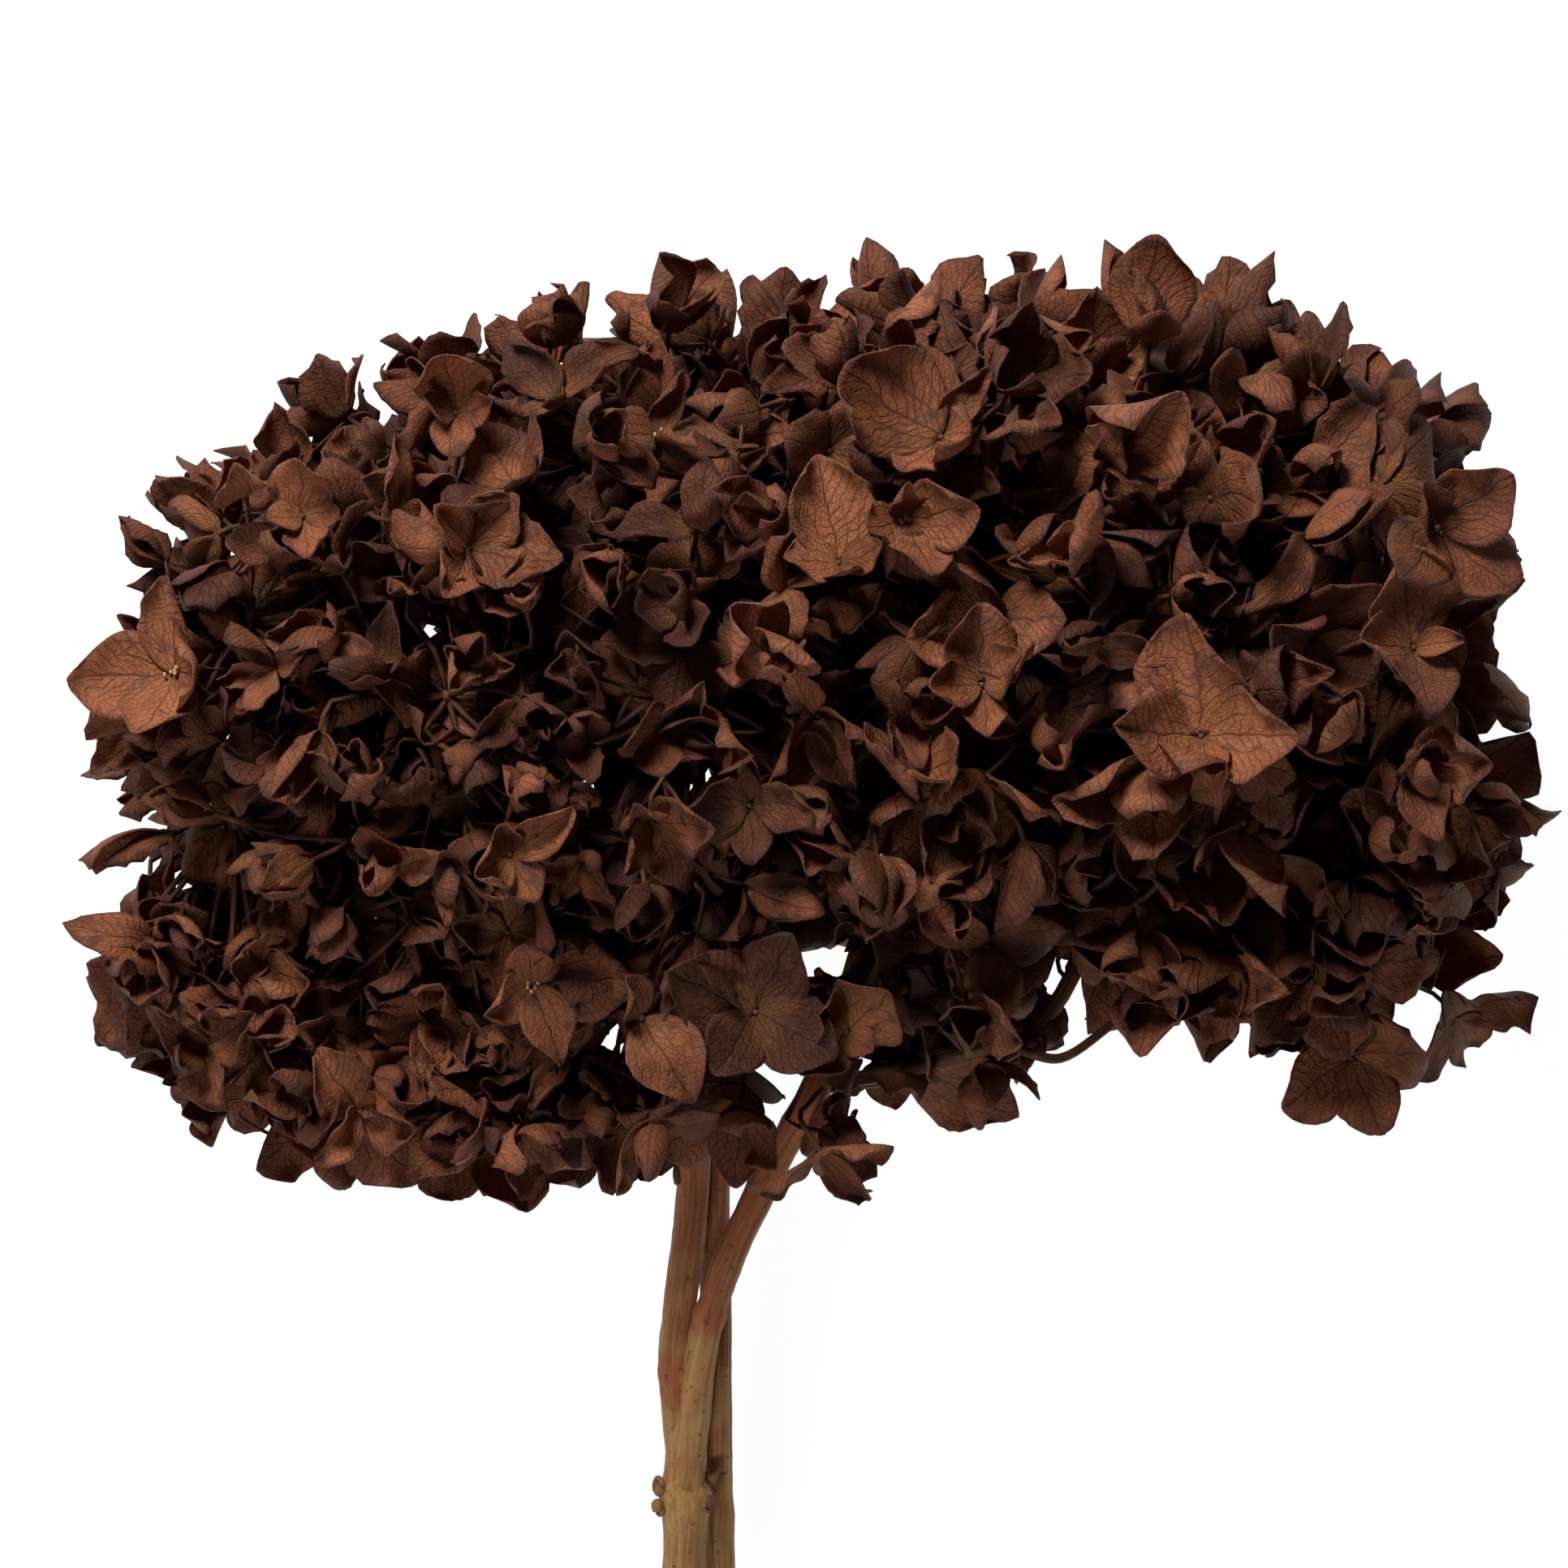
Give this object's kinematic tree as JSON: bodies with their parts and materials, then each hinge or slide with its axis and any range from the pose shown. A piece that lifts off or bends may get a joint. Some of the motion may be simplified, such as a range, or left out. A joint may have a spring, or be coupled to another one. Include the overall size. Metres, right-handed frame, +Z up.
{
  "type": "cut hydrangea",
  "caption": "Preserved brown hydrangea lying on its back: a wide mop head of four-sepal florets on woody cut stems that fork below it.",
  "frame": {"origin": "bottom centre of the bounding box, on the surface that the flower lies on", "axes": "+X across the wide head, +Y along the stems from their cut ends to the head, +Z up from the surface, out of the side that the camera sees"},
  "size_m": [0.279, 0.3506, 0.1468],
  "materials": {
    "dried_sepals": "dry matt petals, red brown with dark veins, golden at the base, purple grey at the rim",
    "stem_wood": "dry ribbed bark, red brown by the head and olive tan at the cut ends",
    "branch_wood": "dry matt stalks, dark red brown"
  },
  "bodies": {
    "root": {"back_stem": "stem_wood", "far_left_floret": "dried_sepals", "far_right_floret": "dried_sepals", "forked_stem": "stem_wood", "left_end_florets": "dried_sepals", "left_floret": "dried_sepals", "near_left_floret": "dried_sepals", "near_right_floret": "dried_sepals", "right_end_florets": "dried_sepals", "right_floret": "dried_sepals", "ring_1_branch": "branch_wood", "ring_1_florets_1": "dried_sepals", "ring_1_florets_2": "dried_sepals", "ring_1_florets_3": "dried_sepals", "ring_1_florets_4": "dried_sepals", "ring_1_florets_5": "dried_sepals", "ring_2_back_branch": "branch_wood", "ring_2_florets_1": "dried_sepals", "ring_2_florets_2": "dried_sepals", "ring_2_florets_3": "dried_sepals", "ring_2_florets_4": "dried_sepals", "ring_2_florets_5": "dried_sepals", "ring_2_florets_6": "dried_sepals", "ring_2_florets_7": "dried_sepals", "ring_2_front_branch": "branch_wood", "ring_3_back_branch": "branch_wood", "ring_3_florets_1": "dried_sepals", "ring_3_florets_2": "dried_sepals", "ring_3_florets_3": "dried_sepals", "ring_3_florets_4": "dried_sepals", "ring_3_florets_5": "dried_sepals", "ring_3_florets_6": "dried_sepals", "ring_3_florets_7": "dried_sepals", "ring_3_front_branch": "branch_wood", "ring_4_back_branch": "branch_wood", "ring_4_florets_1": "dried_sepals", "ring_4_florets_2": "dried_sepals", "ring_4_florets_3": "dried_sepals", "ring_4_florets_4": "dried_sepals", "ring_4_florets_5": "dried_sepals", "ring_4_florets_6": "dried_sepals", "ring_4_florets_7": "dried_sepals", "ring_4_front_branch": "branch_wood", "ring_5_back_branch": "branch_wood", "ring_5_florets_1": "dried_sepals", "ring_5_florets_2": "dried_sepals", "ring_5_florets_3": "dried_sepals", "ring_5_florets_4": "dried_sepals", "ring_5_florets_5": "dried_sepals", "ring_5_florets_6": "dried_sepals", "ring_5_florets_7": "dried_sepals", "ring_5_front_branch": "branch_wood", "ring_6_branch": "branch_wood", "ring_6_florets_1": "dried_sepals", "ring_6_florets_2": "dried_sepals", "ring_6_florets_3": "dried_sepals", "ring_6_florets_4": "dried_sepals", "ring_6_florets_5": "dried_sepals", "stem_left_floret": "dried_sepals", "stem_right_floret": "dried_sepals"}
  },
  "joints": []
}
